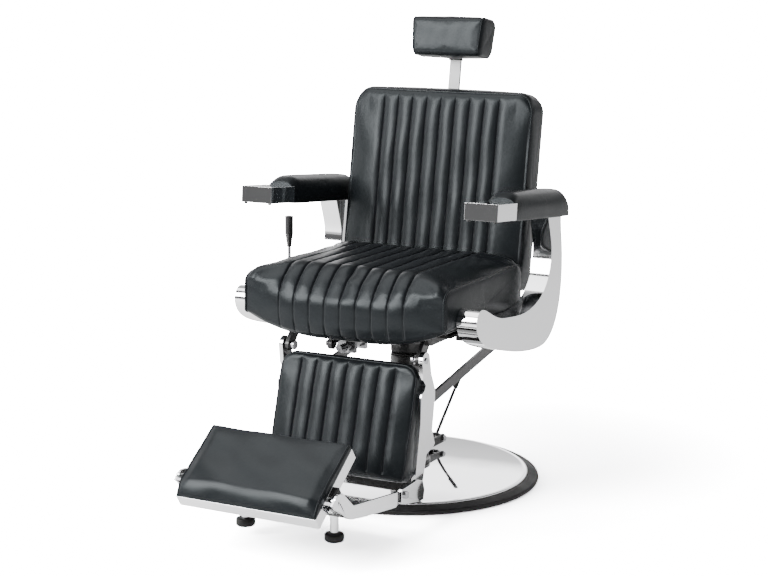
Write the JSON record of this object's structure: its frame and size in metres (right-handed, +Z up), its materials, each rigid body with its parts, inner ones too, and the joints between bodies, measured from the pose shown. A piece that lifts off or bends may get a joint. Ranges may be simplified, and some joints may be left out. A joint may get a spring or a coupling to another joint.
{
  "type": "barber chair",
  "caption": "Hydraulic barber chair on a round base, with a channelled seat and back, sliding headrest, coupled leg rest, folding footrest and flip-over footplate.",
  "frame": {"origin": "centre of the round base on the floor", "axes": "+Z up, -Y the way the chair faces, +X the sitter's left"},
  "size_m": [0.668, 1.1029, 1.1272],
  "materials": {
    "steel_plate": "black painted steel plate",
    "chrome": "polished chrome",
    "rim_rubber": "dark grey rubber",
    "black_paint": "black enamel",
    "black_plastic": "black, semi-gloss",
    "zinc": "bright zinc plate",
    "spring_steel": "blackened spring steel",
    "black_rubber": "matte black rubber",
    "polished_steel": "ground and polished",
    "plywood": "plain plywood",
    "black_leather": "black faux leather, semi-gloss",
    "dark_steel": "dark grey, satin"
  },
  "bodies": {
    "base": {"base_plate": "steel_plate", "base_cover": "chrome", "base_rim": "rim_rubber", "pump_housing": "black_paint", "pump_gland": "black_plastic", "flange_bolts": "zinc", "pedal_bracket": "black_paint", "pedal_shaft": "zinc", "return_spring": "spring_steel"},
    "pedal": {"pump_pedal": "black_paint", "pedal_rubber": "black_rubber"},
    "piston": {"piston_rod": "polished_steel", "thrust_washer": "black_plastic"},
    "seat": {"swivel_hub": "black_paint", "seat_rails": "black_paint", "front_rails": "black_paint", "main_cross_member": "black_paint", "front_cross_member": "black_paint", "seat_board": "plywood", "seat_cushion": "black_leather", "arm_frame_left": "chrome", "arm_frame_right": "chrome", "arm_spacers": "black_plastic", "arm_bolts": "zinc", "arm_block_left": "chrome", "arm_block_right": "chrome", "block_screws": "black_paint", "arm_pad_left": "black_leather", "arm_pad_right": "black_leather", "hinge_pins": "zinc", "lock_cylinder": "zinc"},
    "hand_lever": {"release_lever": "chrome", "lever_grip": "black_plastic"},
    "back": {"back_frame": "black_paint", "back_shell": "black_leather", "back_cushion": "black_leather", "headrest_socket": "black_paint"},
    "headrest": {"headrest_post": "chrome", "headrest_collar": "black_plastic", "headrest_cushion": "black_leather"},
    "lock": {"lock_rod": "polished_steel"},
    "leg_rest": {"legrest_arm_left": "chrome", "legrest_arm_right": "chrome", "legrest_bars": "chrome", "calf_board": "plywood", "calf_cushion": "black_leather", "footrest_hinges": "chrome", "footrest_pins": "zinc"},
    "links": {"link_bars": "dark_steel"},
    "footrest": {"footrest_side_left": "chrome", "footrest_side_right": "chrome", "step_plate": "chrome", "footrest_pegs": "chrome", "peg_feet": "black_rubber"},
    "footplate": {"footplate_board": "plywood", "footplate_trim": "chrome", "footplate_cushion": "black_leather", "footplate_pivots": "zinc", "footplate_bushes": "chrome", "flip_stops": "black_rubber"}
  },
  "joints": [
    {"name": "pump_pedal", "type": "hinge", "parent": "base", "child": "pedal", "pos_m": [0, 0.172, 0.056], "axis": [1, 0, 0], "range_deg": [-18, 0], "stiffness_Nm_per_rad": 6, "springref_deg": 28.65},
    {"name": "seat_lift", "type": "slide", "parent": "base", "child": "piston", "axis": [0, 0, 1], "range_m": [0, 0.15]},
    {"name": "seat_swivel", "type": "hinge", "parent": "piston", "child": "seat", "pos_m": [0, 0, 0.34], "axis": [0, 0, 1], "continuous": true},
    {"name": "back_recline", "type": "hinge", "parent": "seat", "child": "back", "pos_m": [0, 0.145, 0.443], "axis": [-1, 0, 0], "range_deg": [0, 45]},
    {"name": "legrest_swing", "type": "hinge", "parent": "seat", "child": "leg_rest", "pos_m": [0, -0.285, 0.372], "axis": [-1, 0, 0], "range_deg": [0, 45]},
    {"name": "link_turn", "type": "hinge", "parent": "leg_rest", "child": "links", "pos_m": [0, -0.272, 0.257], "axis": [-1, 0, 0], "range_deg": [-45, 0]},
    {"name": "lock_slide", "type": "slide", "parent": "seat", "child": "lock", "axis": [0, 1, 0], "range_m": [-0.08046, 0]},
    {"name": "headrest_height", "type": "slide", "parent": "back", "child": "headrest", "axis": [0, 0.1564, 0.9877], "range_m": [0, 0.1]},
    {"name": "hand_lever", "type": "hinge", "parent": "seat", "child": "hand_lever", "pos_m": [-0.3, -0.023, 0.388], "axis": [1, 0, 0], "range_deg": [0, 14], "stiffness_Nm_per_rad": 4, "springref_deg": -20.05},
    {"name": "footrest_fold", "type": "hinge", "parent": "leg_rest", "child": "footrest", "pos_m": [0, -0.405, 0.09], "axis": [-1, 0, 0], "range_deg": [0, 35]},
    {"name": "footplate_flip", "type": "hinge", "parent": "footrest", "child": "footplate", "pos_m": [0, -0.712, 0.157], "axis": [-1, 0, 0], "range_deg": [-20, 45]}
  ],
  "couplings": [
    {"joint": "legrest_swing", "follows": "back_recline", "ratio": 1},
    {"joint": "link_turn", "follows": "back_recline", "ratio": -1},
    {"joint": "lock_slide", "follows": "back_recline", "m_per_rad": -0.10232}
  ]
}
